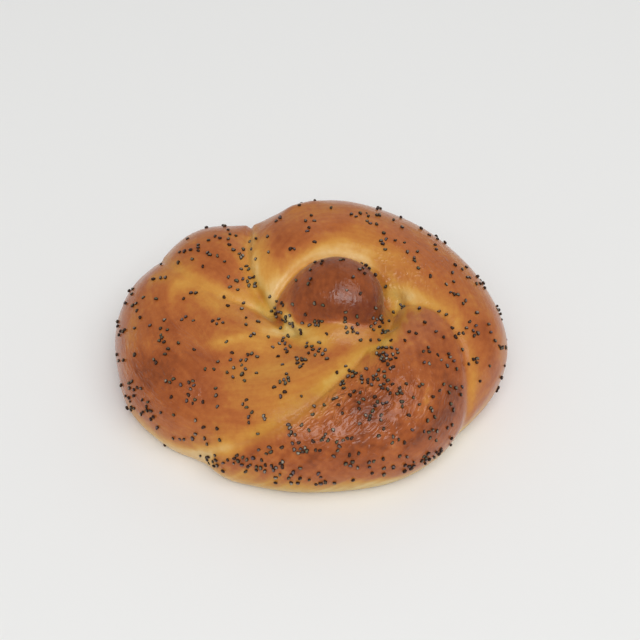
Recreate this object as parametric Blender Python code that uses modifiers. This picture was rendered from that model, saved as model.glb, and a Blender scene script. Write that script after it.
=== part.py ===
"""A poppy seed knot bun: ropes of dough that rose and baked together into one loaf, with the seeds fused to its crust.

Metres, +Z up. The origin is the middle of the bun's box on the surface that it rests on. +X is the wide way
across and +Y points to the back rope.
"""

import math
import random

import bmesh
import bpy
from mathutils import Matrix, Vector
from mathutils.bvhtree import BVHTree

MM = 0.001

# Driving sizes of the baked bun.
BUN_WIDTH = 105 * MM
BUN_HEIGHT = 41 * MM
ROPE_RADIUS = 18 * MM

# Stations along the core of each rope of dough: bearing round the bun's middle in degrees from +X towards +Y,
# distance from the middle in half widths, height in bun heights, and thickness in rope radii. The knob is the rope's
# end that stands up in the middle, and the apron is the stretched dough below it.
ROPES = {
    "back": [
        (138, 0.15, 0.37, 0.67),
        (109, 0.33, 0.47, 1.00),
        (75, 0.49, 0.46, 1.07),
        (35, 0.58, 0.41, 1.02),
        (-1, 0.71, 0.31, 0.91),
        (-38, 0.65, 0.25, 0.71),
    ],
    "rear_left": [
        (168, 0.22, 0.32, 0.75),
        (146, 0.44, 0.36, 0.98),
        (142, 0.59, 0.37, 1.03),
        (155, 0.63, 0.29, 0.81),
    ],
    "left": [
        (-87, 0.22, 0.43, 0.49),
        (-160, 0.37, 0.33, 0.86),
        (161, 0.68, 0.27, 0.99),
        (-173, 0.67, 0.22, 0.96),
        (-152, 0.60, 0.22, 0.92),
    ],
    "tongue": [
        (-17, 0.36, 0.48, 0.61),
        (-75, 0.36, 0.39, 0.73),
        (-103, 0.46, 0.30, 0.83),
        (-126, 0.52, 0.21, 0.88),
    ],
    "front": [
        (-3, 0.59, 0.38, 0.72),
        (-26, 0.54, 0.31, 1.01),
        (-54, 0.58, 0.29, 0.94),
        (-92, 0.57, 0.24, 0.77),
        (-121, 0.66, 0.17, 0.53),
    ],
    "knob": [
        (-143, 0.11, 0.55, 0.36),
        (19, 0.04, 0.65, 0.57),
        (6, 0.16, 0.75, 0.59),
        (-21, 0.24, 0.68, 0.35),
    ],
    "apron": [
        (-103, 0.18, 0.59, 0.25),
        (-56, 0.21, 0.62, 0.39),
        (-28, 0.30, 0.62, 0.33),
    ],
}
STEPS_PER_SPAN = 8
END_STEPS = 5
ROPE_BEVEL = 8

# The dough under the ropes, a squashed ball that fills the middle of the bun.
HEART_REACH = (43 * MM, 37 * MM, 16 * MM)
HEART_HEIGHT = 10.5 * MM

# How the ropes join: the grid that melts them into one skin, and the passes that soften the folds.
SKIN_GRID = 1.3 * MM
SKIN_PASSES = 3
# The tray presses the underside flat, with an edge that rounds over within this height. What the thinning then
# leaves within a hair of the tray is levelled on to it.
TRAY_EDGE = 2.0 * MM
LEVEL_WITHIN = 0.1 * MM
CRUST_TRIANGLES = 4600

# Poppy seeds: whole sizes along, across and through one seed, and how they lie.
SEED_SIZE = (1.3 * MM, 1.05 * MM, 0.9 * MM)
SEED_SPREAD = 0.12
SEED_PROUD = 0.12 * MM
SEED_GAP = 2.4 * MM
SEED_RAYS = 220
SEED_SHAKE = math.radians(5)
SEED_LOWEST = 4.5 * MM
LOWEST_RAY = math.radians(-18)
GOLDEN_ANGLE = math.pi * (3 - math.sqrt(5))
RANDOM_SEED = 7

CRUST_COLOUR = (0.42, 0.17, 0.05, 1)
POPPY_COLOUR = (0.03, 0.03, 0.04, 1)


def clear_scene():
    for obj in list(bpy.data.objects):
        bpy.data.objects.remove(obj)


def collection(name):
    made = bpy.data.collections.new(name)
    bpy.context.scene.collection.children.link(made)
    return made


def material(name, colour, roughness):
    made = bpy.data.materials.new(name)
    made.use_nodes = True
    shader = made.node_tree.nodes["Principled BSDF"]
    shader.inputs["Base Color"].default_value = colour
    shader.inputs["Roughness"].default_value = roughness
    shader.inputs["Metallic"].default_value = 0.0
    return made


def station(bearing, reach, height, girth):
    """The core point and the radius, as one four-part row, of a station given in shares of the driving sizes."""
    angle = math.radians(bearing)
    out = reach * BUN_WIDTH / 2
    return Vector((out * math.cos(angle), out * math.sin(angle), height * BUN_HEIGHT, girth * ROPE_RADIUS))


def smooth_line(points):
    """Points read from the Catmull-Rom curve through the given four-part points."""
    ends = [2 * points[0] - points[1], *points, 2 * points[-1] - points[-2]]
    line = []
    for before, start, end, after in zip(ends, ends[1:], ends[2:], ends[3:]):
        for step in range(STEPS_PER_SPAN):
            t = step / STEPS_PER_SPAN
            bend = 2 * before - 5 * start + 4 * end - after
            twist = 3 * start - before - 3 * end + after
            line.append(start + 0.5 * ((end - before) * t + bend * t**2 + twist * t**3))
    return [*line, points[-1]]


def domed_end(tip, inner):
    """Stations that carry the rope on past its tip as a half ball, so that it ends round."""
    outward = (tip.xyz - inner.xyz).normalized()
    girth = tip.w
    dome = []
    for step in range(1, END_STEPS + 1):
        angle = math.pi / 2 * step / (END_STEPS + 0.2)
        core = tip.xyz + outward * girth * math.sin(angle)
        dome.append(Vector((*core, girth * math.cos(angle))))
    return dome


def rope_line(stations):
    line = smooth_line([station(*values) for values in stations])
    head = domed_end(line[0], line[1])
    tail = domed_end(line[-1], line[-2])
    return [*reversed(head), *line, *tail]


def dough_ropes():
    """All the ropes as one curve object, a spline for each, whose thickness follows the stations."""
    data = bpy.data.curves.new("dough_ropes", "CURVE")
    data.dimensions = "3D"
    data.bevel_depth = 1.0
    data.bevel_resolution = ROPE_BEVEL
    data.use_fill_caps = True
    for stations in ROPES.values():
        line = rope_line(stations)
        spline = data.splines.new("POLY")
        spline.points.add(len(line) - 1)
        for point, place in zip(spline.points, line):
            point.co = (*place.xyz, 1)
            point.radius = place.w
    ropes = bpy.data.objects.new("dough_ropes", data)
    bpy.context.scene.collection.objects.link(ropes)
    return ropes


def evaluated_mesh(obj, name):
    """A mesh of the object with its modifiers or its bevel applied."""
    bpy.context.view_layer.update()
    graph = bpy.context.evaluated_depsgraph_get()
    mesh = bpy.data.meshes.new_from_object(obj.evaluated_get(graph), depsgraph=graph)
    mesh.name = name
    return mesh


def with_heart(mesh):
    """Adds the ball of dough that the ropes lie round, and closes the ropes' caps."""
    work = bmesh.new()
    work.from_mesh(mesh)
    bmesh.ops.remove_doubles(work, verts=work.verts, dist=0.01 * MM)
    place = Matrix.Translation((0, 0, HEART_HEIGHT)) @ Matrix.Diagonal((*HEART_REACH, 1))
    bmesh.ops.create_uvsphere(work, u_segments=32, v_segments=16, radius=1, matrix=place)
    work.to_mesh(mesh)
    work.free()
    return mesh


def melted_skin(mesh, home):
    """One closed skin round all the ropes, with folds where they meet."""
    loose = bpy.data.objects.new("loose_ropes", mesh)
    home.objects.link(loose)
    melt = loose.modifiers.new("melt", "REMESH")
    melt.mode = "VOXEL"
    melt.voxel_size = SKIN_GRID
    soften = loose.modifiers.new("soften", "SMOOTH")
    soften.factor = 0.5
    soften.iterations = SKIN_PASSES
    skin = evaluated_mesh(loose, "bun")
    bpy.data.objects.remove(loose)
    return skin


def press_on_tray(mesh):
    """Flattens what would sink into the tray, and rounds the edge of that flat base over TRAY_EDGE."""
    for vertex in mesh.vertices:
        height = vertex.co.z
        if height < -TRAY_EDGE:
            vertex.co.z = 0
        elif height < TRAY_EDGE:
            vertex.co.z = (height + TRAY_EDGE) ** 2 / (4 * TRAY_EDGE)


def thinned(mesh, home):
    """The crust with few triangles: most of them along the folds, and large ones on the flat base."""
    bun = bpy.data.objects.new("bun", mesh)
    home.objects.link(bun)
    mesh.calc_loop_triangles()
    thin = bun.modifiers.new("thin", "DECIMATE")
    thin.ratio = CRUST_TRIANGLES / len(mesh.loop_triangles)
    thin.use_collapse_triangulate = True
    bun.data = evaluated_mesh(bun, "bun_crust")
    bun.modifiers.clear()
    for vertex in bun.data.vertices:
        if vertex.co.z < LEVEL_WITHIN:
            vertex.co.z = 0
    return bun


def seed_spots(bun):
    """Places and outward directions of the seeds: rays on an even spiral, from the top down and shaken a little,
    that come in to the bun's heart, less those that land near the tray or on another seed."""
    skin = BVHTree.FromPolygons([v.co for v in bun.data.vertices], [p.vertices for p in bun.data.polygons])
    heart = Vector((0, 0, HEART_HEIGHT))
    draw = random.Random(RANDOM_SEED)
    spots = []
    for number in range(SEED_RAYS):
        rise = 1 - (1 - math.sin(LOWEST_RAY)) * (number + 0.5) / SEED_RAYS
        tilt = math.asin(rise) + draw.uniform(-SEED_SHAKE, SEED_SHAKE)
        bearing = number * GOLDEN_ANGLE + draw.uniform(-SEED_SHAKE, SEED_SHAKE)
        level = math.cos(tilt)
        outward = Vector((level * math.cos(bearing), level * math.sin(bearing), math.sin(tilt)))
        place, normal, _, _ = skin.ray_cast(heart + outward * BUN_WIDTH, -outward)
        too_close = any((place - other).length < SEED_GAP for other, _ in spots)
        if place.z > SEED_LOWEST and not too_close:
            spots.append((place, normal))
    return spots


def scatter_seeds(bun, home, finish):
    """One few-sided seed object at each spot, the largest first, flat side to the crust and sunk to its middle."""
    shape = bpy.data.meshes.new("poppy_seed")
    work = bmesh.new()
    bmesh.ops.create_icosphere(work, subdivisions=1, radius=0.5, matrix=Matrix.Diagonal((*SEED_SIZE, 1)))
    work.to_mesh(shape)
    work.free()
    shape.materials.append(finish)
    draw = random.Random(RANDOM_SEED + 1)
    spots = seed_spots(bun)
    scales = sorted((draw.uniform(1 - SEED_SPREAD, 1 + SEED_SPREAD) for _ in spots), reverse=True)
    draw.shuffle(spots)
    for number, ((place, normal), scale) in enumerate(zip(spots, scales)):
        seed = bpy.data.objects.new(f"seed_{number}", shape)
        turn = normal.to_track_quat("Z", "Y").to_matrix().to_4x4()
        spin = Matrix.Rotation(draw.uniform(0, 2 * math.pi), 4, "Z")
        seed.matrix_world = Matrix.Translation(place + normal * SEED_PROUD) @ turn @ spin @ Matrix.Scale(scale, 4)
        home.objects.link(seed)


def fuse_seeds(bun, seeds):
    """Joins every seed to the crust, and removes the separate seeds."""
    join = bun.modifiers.new("fuse_seeds", "BOOLEAN")
    join.operation = "UNION"
    join.operand_type = "COLLECTION"
    join.collection = seeds
    join.solver = "EXACT"
    join.material_mode = "TRANSFER"
    bun.data = evaluated_mesh(bun, "bun")
    bun.modifiers.clear()
    for seed in list(seeds.objects):
        bpy.data.objects.remove(seed)
    bpy.data.collections.remove(seeds)


def stand_on_origin(mesh):
    """Moves the mesh so that the origin is the middle of its box, at the level of its base."""
    corners = [Vector(map(pick, zip(*(v.co for v in mesh.vertices)))) for pick in (min, max)]
    middle = (corners[0] + corners[1]) / 2
    mesh.transform(Matrix.Translation((-middle.x, -middle.y, -corners[0].z)))


def main():
    clear_scene()
    home = collection("poppy_seed_bun")
    ropes = dough_ropes()
    mesh = with_heart(evaluated_mesh(ropes, "ropes"))
    bpy.data.objects.remove(ropes)
    skin = melted_skin(mesh, home)
    press_on_tray(skin)
    skin.materials.clear()
    skin.materials.append(material("baked_crust", CRUST_COLOUR, 0.4))
    bun = thinned(skin, home)
    seeds = collection("seeds")
    scatter_seeds(bun, seeds, material("poppy_seed", POPPY_COLOUR, 0.6))
    fuse_seeds(bun, seeds)
    stand_on_origin(bun.data)
    bun.data.shade_smooth()
    bun.data.set_sharp_from_angle(angle=math.radians(40))


main()
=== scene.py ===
# %% [markdown]
# # A knotted bun with poppy seeds
# A rope of soft dough is tied round itself, left to rise and baked. The rising presses the turns of the
# rope together, so the bun is one loaf with deep folds, and the egg wash browns what faces the heat and
# leaves the folds golden. This lesson builds it as one skin measured by rays from the inside, and then
# scatters poppy seeds over it.

import math

import bpy
import numpy as np
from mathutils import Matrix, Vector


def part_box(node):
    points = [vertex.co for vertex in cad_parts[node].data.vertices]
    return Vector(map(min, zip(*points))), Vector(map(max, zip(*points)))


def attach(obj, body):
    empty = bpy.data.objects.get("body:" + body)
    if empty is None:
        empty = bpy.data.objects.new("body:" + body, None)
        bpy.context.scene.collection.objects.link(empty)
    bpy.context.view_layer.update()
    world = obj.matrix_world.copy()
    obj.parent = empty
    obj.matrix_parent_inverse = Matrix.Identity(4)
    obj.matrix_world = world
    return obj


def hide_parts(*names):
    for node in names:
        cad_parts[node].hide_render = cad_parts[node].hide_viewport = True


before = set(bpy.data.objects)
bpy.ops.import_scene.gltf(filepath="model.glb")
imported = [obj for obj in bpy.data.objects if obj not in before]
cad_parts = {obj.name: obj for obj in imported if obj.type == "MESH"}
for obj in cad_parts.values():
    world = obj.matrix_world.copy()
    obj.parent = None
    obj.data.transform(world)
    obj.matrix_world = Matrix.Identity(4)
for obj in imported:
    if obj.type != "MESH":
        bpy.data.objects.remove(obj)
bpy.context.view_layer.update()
bun_low, bun_high = (np.array(corner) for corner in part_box("bun"))
print("the solid bun is", np.round((bun_high - bun_low) * 1000, 1), "mm")

# %% [markdown]
# ## Helpers
# Colours are picked as sRGB hex values, as on a paint chart, and Blender mixes light in linear values, so
# one function turns one into the other. The others start a material, add a shader node with its settings
# and links, read what is stored on a mesh, and fill a ramp of colours.

# %% Colours and nodes
MM = 0.001


def linear(hex_colour):
    """The sRGB curve undone: a short straight foot, then a power of 2.4."""
    channels = [int(hex_colour[start:start + 2], 16) / 255 for start in (1, 3, 5)]
    undone = [level / 12.92 if level <= 0.04045 else ((level + 0.055) / 1.055) ** 2.4 for level in channels]
    return (*undone, 1.0)


def set_inputs(tree, node, **inputs):
    """Gives each input its plain value, or a link where the value is the output of another node.

    In a name, _ stands for a space, and _6 is the input with the number 6.
    """
    for name, value in inputs.items():
        socket = node.inputs[int(name[1:]) if name[1:].isdigit() else name.replace("_", " ")]
        if isinstance(value, bpy.types.NodeSocket):
            tree.links.new(value, socket)
        else:
            socket.default_value = value


def add_node(tree, kind, settings=None, **inputs):
    """One node, with its settings and its inputs."""
    node = tree.nodes.new(kind)
    for name, value in (settings or {}).items():
        setattr(node, name, value)
    set_inputs(tree, node, **inputs)
    return node


def stored(tree, name):
    """The outputs of a node that reads what is stored on the mesh's points under a name."""
    return add_node(tree, "ShaderNodeAttribute", {"attribute_name": name}).outputs


def fill_ramp(ramp, stops):
    """Puts stops, each a position from 0 to 1 and a colour, on a colour ramp."""
    elements = ramp.color_ramp.elements
    while len(elements) < len(stops):
        elements.new(0.5)
    for element, (position, colour) in zip(elements, stops):
        element.position = position
        element.color = linear(colour)


def new_material(name, **inputs):
    """A material, its nodes and its shader, with plain values on the shader's own sockets."""
    material = bpy.data.materials.new(name)
    material.use_nodes = True
    tree = material.node_tree
    shader = tree.nodes["Principled BSDF"]
    set_inputs(tree, shader, **inputs)
    return material, tree, shader


print("the middle grey #808080 is", round(linear("#808080")[0], 3), "in linear values")

# %% [markdown]
# ## The ropes of dough
# Each turn of the rope is described by a few stations: where its core runs and how thick it is there.
# They are given as shares of three driving sizes, the bun's width and height and the rope's radius, so
# that the bun can be resized by changing one number. A smooth curve through the stations gives rows of
# balls, and the rope is the space that the balls fill together.

# %% Stations along each rope
BUN_WIDTH = 105.0
BUN_HEIGHT = 41.0
ROPE_RADIUS = 18.0

# bearing in degrees from +X towards +Y, distance in half widths, height in bun heights, and thickness in
# rope radii
ROPES = {
    "back": [
        (138, 0.15, 0.37, 0.67),
        (109, 0.33, 0.47, 1.00),
        (75, 0.49, 0.46, 1.07),
        (35, 0.58, 0.41, 1.02),
        (-1, 0.71, 0.31, 0.91),
        (-38, 0.65, 0.25, 0.71),
    ],
    "rear_left": [
        (168, 0.22, 0.32, 0.75),
        (146, 0.44, 0.36, 0.98),
        (142, 0.59, 0.37, 1.03),
        (155, 0.63, 0.29, 0.81),
    ],
    "left": [
        (-87, 0.22, 0.43, 0.49),
        (-160, 0.37, 0.33, 0.86),
        (161, 0.68, 0.27, 0.99),
        (-173, 0.67, 0.22, 0.96),
        (-152, 0.60, 0.22, 0.92),
    ],
    "tongue": [
        (-17, 0.36, 0.48, 0.61),
        (-75, 0.36, 0.39, 0.73),
        (-103, 0.46, 0.30, 0.83),
        (-126, 0.52, 0.21, 0.88),
    ],
    "front": [
        (-3, 0.59, 0.38, 0.72),
        (-26, 0.54, 0.31, 1.01),
        (-54, 0.58, 0.29, 0.94),
        (-92, 0.57, 0.24, 0.77),
        (-121, 0.66, 0.17, 0.53),
    ],
    "knob": [
        (-143, 0.11, 0.55, 0.36),
        (19, 0.04, 0.65, 0.57),
        (6, 0.16, 0.75, 0.59),
        (-21, 0.24, 0.68, 0.35),
    ],
    "apron": [
        (-103, 0.18, 0.59, 0.25),
        (-56, 0.21, 0.62, 0.39),
        (-28, 0.30, 0.62, 0.33),
    ],
}
print("ropes:", len(ROPES), "with", sum(len(stations) for stations in ROPES.values()), "stations")

# %% Rows of balls along the stations
BALLS_PER_SPAN = 14


def core_line(stations):
    """Rows of x, y, z and radius in mm on the Catmull-Rom curve through the stations.

    Between two stations the curve is a cubic whose slope at each of them is half the step from the station
    before it to the one after it.
    """
    bearing, reach, height, girth = np.array(stations, float).T
    angle = np.radians(bearing)
    away = reach * BUN_WIDTH / 2
    rows = np.column_stack([away * np.cos(angle), away * np.sin(angle), height * BUN_HEIGHT,
                            girth * ROPE_RADIUS])
    ends = np.vstack([2 * rows[0] - rows[1], rows, 2 * rows[-1] - rows[-2]])
    along = np.linspace(0, len(rows) - 1, BALLS_PER_SPAN * (len(rows) - 1) + 1)
    span = np.minimum(along.astype(int), len(rows) - 2)
    part = (along - span)[:, None]
    before, first, second, after = (ends[span + shift] for shift in range(4))
    slope = second - before
    bend = 2 * before - 5 * first + 4 * second - after
    twist = 3 * first - before - 3 * second + after
    return first + 0.5 * (slope * part + bend * part**2 + twist * part**3)


balls = {name: core_line(stations) for name, stations in ROPES.items()}
rope_names = list(balls)
column = rope_names.index
print("balls along each rope:", {name: len(line) for name, line in balls.items()})

# %% [markdown]
# ## How the ropes melt together
# The distance from a point to a rope is the distance to its nearest ball, but a hard minimum would leave
# a seam at each change of ball. A soft minimum, the logarithm of a sum of exponentials, is smooth
# instead. The same soft minimum joins the ropes: a small softness keeps the folds between them deep and
# narrow, as in the real bun. A heart, an ellipsoid in the middle, fills what the ropes leave open inside.

# %% Distance to the dough
BALL_SOFTNESS = 0.4
# what the soft minimum of the balls adds to a rope's thickness
OVERLAP = 0.55
FOLD_SOFTNESS = 0.9
SAME_ROPE_SOFTNESS = 2.0
HEART_REACH = np.array([43.0, 37.0, 16.0])
HEART_MIDDLE = np.array([0.0, 0.0, 10.5])


def gaps_to_balls(points, line):
    """Distances from every point to the skin of every ball of one rope, as a table."""
    core, girth = line[:, :3], line[:, 3]
    squares = (points**2).sum(1)[:, None] + (core**2).sum(1) - 2 * points @ core.T
    return np.sqrt(np.maximum(squares, 1e-9)) - girth


def soft_minimum(distances, softness):
    """Minus the softness times the logarithm of the sum of exp(-distance / softness), over the last axis."""
    least = distances.min(axis=-1, keepdims=True)
    total = np.exp((least - distances) / softness).sum(axis=-1)
    return least[..., 0] - softness * np.log(total)


def rope_distances(points):
    """A column for each rope: the soft distance to its skin."""
    return np.column_stack([
        soft_minimum(gaps_to_balls(points, line), BALL_SOFTNESS) + OVERLAP for line in balls.values()
    ])


def heart_distance(points):
    """The reach of each point in units of the ellipsoid, less 1, times its shortest half axis."""
    return (np.linalg.norm((points - HEART_MIDDLE) / HEART_REACH, axis=1) - 1) * HEART_REACH[2]


def dough_distance(points):
    """Distance to the whole dough: the tongue melts into the left rope, and then all meet in folds."""
    parts = rope_distances(points)
    left, tongue = column("left"), column("tongue")
    parts[:, left] = soft_minimum(parts[:, [left, tongue]], SAME_ROPE_SOFTNESS)
    # the tongue is now in the left rope's column, so its own column is free for the heart
    parts[:, tongue] = heart_distance(points)
    return soft_minimum(parts, FOLD_SOFTNESS)


print("the heart's middle is", round(-dough_distance(HEART_MIDDLE[None])[0], 1), "mm below the skin")

# %% [markdown]
# ## One skin measured by rays
# Seen from the middle of the crumb, every ray leaves the dough once, so the whole skin is a function of
# two parameters: a bearing and a tilt. Each ray is followed inwards from outside, and a step as long as
# the distance to the dough can never pass through it. The rings are spaced evenly along the skin, closer
# on what shows and wider under the base.

# %% The grid of rays
BEARINGS = 480
RINGS = 204
RAY_START = np.array([0.0, 0.0, 9.0])
OUTSIDE = 80.0
# rings under the base, as a share of those on the same length of visible skin
BASE_DENSITY = 0.12
COARSE_TILTS, COARSE_BEARINGS = 181, 48


def directions(tilt, bearing):
    """Unit arrows: tilt is 0 straight up and pi straight down, bearing turns from +X towards +Y."""
    tilt, bearing = np.broadcast_arrays(tilt, bearing)
    return np.stack([np.sin(tilt) * np.cos(bearing), np.sin(tilt) * np.sin(bearing), np.cos(tilt)], -1)


def skin_reach(arrows, steps=48, close=0.002):
    """How far each ray's outermost meeting with the dough is from the ray's start."""
    reach = np.full(len(arrows), OUTSIDE)
    moving = np.arange(len(arrows))
    for _ in range(steps):
        gap = dough_distance(RAY_START + arrows[moving] * reach[moving, None])
        reach[moving] -= gap
        moving = moving[np.abs(gap) > close]
        if not len(moving):
            break
    return reach


straight_up = skin_reach(np.array([[0.0, 0.0, 1.0]]))[0]
print("the ray straight up leaves the dough after", round(straight_up, 1), "mm")

# %% Rings and rays
def even_tilts():
    """Tilts for the rings, even along the mean outline of the bun, which a coarse grid of rays measures."""
    tilt = np.linspace(0.0, math.pi, COARSE_TILTS)
    bearing = np.linspace(0, 2 * math.pi, COARSE_BEARINGS, endpoint=False)
    arrows = directions(tilt[:, None], bearing[None, :])
    reach = skin_reach(arrows.reshape(-1, 3), close=0.02).reshape(len(tilt), -1)
    place = RAY_START + arrows * reach[..., None]
    length = np.linalg.norm(np.diff(place, axis=0), axis=2).mean(1)
    under = place[:-1, :, 2].mean(1) < 1.0
    travelled = np.concatenate([[0], np.cumsum(length * np.where(under, BASE_DENSITY, 1.0))])
    wanted = np.linspace(0, travelled[-1], RINGS + 2)[1:-1]
    return np.interp(wanted, travelled, tilt)


bearings = np.linspace(0, 2 * math.pi, BEARINGS, endpoint=False)
tilts = even_tilts()
arrows = directions(tilts[:, None], bearings[None, :]).reshape(-1, 3)
arrows = np.vstack([arrows, [[0, 0, 1], [0, 0, -1]]])
skin = RAY_START + arrows * skin_reach(arrows)[:, None]
print("rays:", len(arrows), "skin from", np.round(skin.min(0), 1), "to", np.round(skin.max(0), 1))

# %% [markdown]
# ## The flat base
# The dough rests on a tray while it bakes, so whatever would sink below the tray is pressed flat, and the
# edge of the flat part turns up over a few millimetres. The skin is then centred on the solid that it
# stands for.

# %% Press the dough on the tray
TRAY_EDGE = 2.0


def pressed(height):
    """Zero under the tray, a parabola over the edge, and unchanged above it."""
    edge = (height + TRAY_EDGE) ** 2 / (4 * TRAY_EDGE)
    return np.where(height < -TRAY_EDGE, 0.0, np.where(height < TRAY_EDGE, edge, height))


middle = (skin.min(0) + skin.max(0)) / 2
solid_middle = (bun_low + bun_high) / 2 / MM
to_frame = np.array([solid_middle[0] - middle[0], solid_middle[1] - middle[1], bun_low[2] / MM])
print("moved to the solid's place by", np.round(to_frame, 2), "mm")

# %% [markdown]
# ## Which rope is nearest
# A fold is where the distances to two ropes are equal. Soft shares, which fade from one rope to the next
# over about a millimetre, say how much of each rope a point belongs to. The tongue has melted into the
# left rope, so those two fade into each other over several millimetres.

# %% Shares of the ropes
SHARE_SOFTNESS = 0.5
MELTED_SOFTNESS = 4.0

to_ropes = rope_distances(skin)
share = np.exp((to_ropes.min(1, keepdims=True) - to_ropes) / SHARE_SOFTNESS)
share /= share.sum(1, keepdims=True)
melted = [column("left"), column("tongue")]
both = share[:, melted].sum(1)
left_part = 1 / (1 + np.exp((to_ropes[:, melted[0]] - to_ropes[:, melted[1]]) / MELTED_SOFTNESS))
share[:, melted] = np.column_stack([both * left_part, both * (1 - left_part)])
on_knob = share[:, column("knob")]
print("mean share of each rope:", dict(zip(rope_names, np.round(share.mean(0), 2))))

# %% [markdown]
# ## Uneven dough
# A few helpers shape everything that is irregular. Many sine waves in random directions add up to soft
# lumps of a chosen size that never line up with a grid. A smooth step turns a distance into a soft edge,
# and a bell curve turns it into a soft line or spot.

# %% Noise and soft edges
def noise(places, size, seed, waves=24):
    """The sum of sine waves in random directions, 1.4 to 3 times the size long, scaled to about -1 to 1."""
    draw = np.random.default_rng(seed)
    ways = draw.normal(size=(waves, places.shape[1]))
    ways /= np.linalg.norm(ways, axis=1, keepdims=True)
    lengths = size * draw.uniform(1.4, 3.0, waves)
    turns = places @ (ways / lengths[:, None]).T + draw.uniform(0, 1, waves)
    return np.sin(2 * math.pi * turns).sum(1) / math.sqrt(2 * waves)


def soft_step(value, start, end):
    """0 before start, 1 after end, and between them 3 times the part squared less twice the part cubed."""
    part = np.clip((value - start) / (end - start), 0, 1)
    return part * part * (3 - 2 * part)


def bell(value, width):
    """exp(-(value / width) squared): 1 at zero, and 0.37 one width away."""
    return np.exp(-((value / width) ** 2))


def spot(places, centre, size):
    """The same bell in space: 1 at the centre, with a width in mm along each axis."""
    return np.exp(-(((places - centre) / size) ** 2).sum(1))


print("half way up a soft step:", soft_step(0.5, 0, 1), "- one width from a bell:", round(bell(1.0, 1.0), 2))

# %% [markdown]
# ## The grain of the crust
# Rolling a rope by hand stretches its skin lengthwise, so the marks in the crust run along each rope.
# Every point is given a place on its rope: how far along the core, and how far round it. Noise in these
# two coordinates, squeezed along the rope, makes long strands. On the front rope they slant, and on the
# knob they run over its long side.

# %% Places along and round each rope
STRAND_SQUEEZE = 0.13
FRONT_SLANT = math.radians(35)
PLACE_SOFTNESS = 2.0


def rope_place(points, line):
    """Distance along the core and distance round it, from the nearest balls, weighted by exp(-distance)."""
    core, girth = line[:, :3], line[:, 3]
    gaps = gaps_to_balls(points, line)
    weight = np.exp((gaps.min(1, keepdims=True) - gaps) / PLACE_SOFTNESS)
    weight /= weight.sum(1, keepdims=True)
    travelled = np.concatenate([[0], np.cumsum(np.linalg.norm(np.diff(core, axis=0), axis=1))])
    ahead = np.gradient(core, axis=0)
    ahead = weight @ (ahead / np.linalg.norm(ahead, axis=1, keepdims=True))
    ahead /= np.linalg.norm(ahead, axis=1, keepdims=True)
    side = np.cross(ahead, [0.0, 0.0, 1.0])
    side /= np.linalg.norm(side, axis=1, keepdims=True)
    arm = points - weight @ core
    height = (arm * np.cross(side, ahead)).sum(1)
    around = np.arctan2((arm * side).sum(1), height) * (weight @ girth)
    return np.column_stack([weight @ travelled + (arm * ahead).sum(1), around])


def slanted(place, angle):
    """The same place in axes turned by an angle."""
    along, around = place.T
    return np.column_stack([along * math.cos(angle) - around * math.sin(angle),
                            along * math.sin(angle) + around * math.cos(angle)])


print("the marks on the front rope slant by", round(math.degrees(FRONT_SLANT)), "degrees")

# %% Streaks, lumps and grain
rope_places = {name: rope_place(skin, line) for name, line in balls.items()}
rope_places["front"] = slanted(rope_places["front"], FRONT_SLANT)
rope_places["knob"] = np.column_stack([skin[:, 1] + 0.3 * skin[:, 2], skin[:, 0]])
strand_places = np.stack(list(rope_places.values())) * (STRAND_SQUEEZE, 1.0)


def strands(size, seed):
    """Noise along each rope, mixed by the shares of the ropes."""
    noises = (noise(place, size, seed + 10 * number) for number, place in enumerate(strand_places))
    return sum(part * values for part, values in zip(share.T, noises))


# broad and fine streaks, an unevenness that makes edges wander, and lumps a centimetre or two across
streaks = 0.7 * strands(2.6, seed=1) + 0.3 * strands(1.2, seed=2)
ragged = streaks + 0.25 * noise(skin, 1.6, seed=7)
lumps = noise(skin, 9.0, seed=10)
# for the material: the place on the nearest rope, kept apart from the other ropes by a third coordinate
nearest = to_ropes.argmin(1)
grain = np.column_stack([strand_places[nearest, np.arange(len(skin))], 40.0 * nearest])
# 0 on the line between two ropes, where the grain jumps, and 1 away from it
two_nearest = np.sort(to_ropes, axis=1)[:, :2]
apart = soft_step(two_nearest[:, 1] - two_nearest[:, 0], 0.3, 1.5)
print("streaks from", streaks.min().round(2), "to", streaks.max().round(2))

# %% [markdown]
# ## Relief
# The skin is lumpy over a centimetre or two and slightly furrowed along the streaks. Where two ropes
# press together the crease between them is sharper than the soft minimum leaves it, so a narrow groove
# follows each fold.

# %% Creases, hollows and swellings
# the rope above, the rope below, where the groove lies, how wide it is and how deep
CREASES = [
    ("rear_left", "back", 0.0, 0.9, 1.0),
    ("left", "rear_left", 0.2, 0.6, 0.5),
    ("front", "tongue", 0.0, 0.35, 0.35),
    ("front", "back", 0.3, 0.6, 0.6),
    ("left", "knob", 0.0, 1.2, 0.3),
    ("left", "apron", 0.0, 1.0, 0.8),
    ("knob", "back", 0.3, 1.0, 1.0),
    ("knob", "apron", 0.0, 1.0, 0.3),
]
# paths of x, y and z, how wide and how deep: beside the knob, down the left crease, and at the knob's foot
HOLLOWS = [
    [(23, 2, 29, 2.0, 2.2), (21, -8, 30, 2.0, 2.2)],
    [(-15.5, 10, 33, 1.2, 0.2), (-14, 5, 31, 1.4, 0.6), (-12, 1, 29, 1.6, 1.0), (-10, -3, 28, 1.2, 1.2),
     (-7, -7, 29, 0.9, 1.2), (-4, -10, 29, 0.8, 0.8), (-1, -13, 29, 0.7, 0.3)],
    [(20, -10, 30, 1.6, 0.9), (17, -16, 30, 1.6, 0.9)],
]
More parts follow.
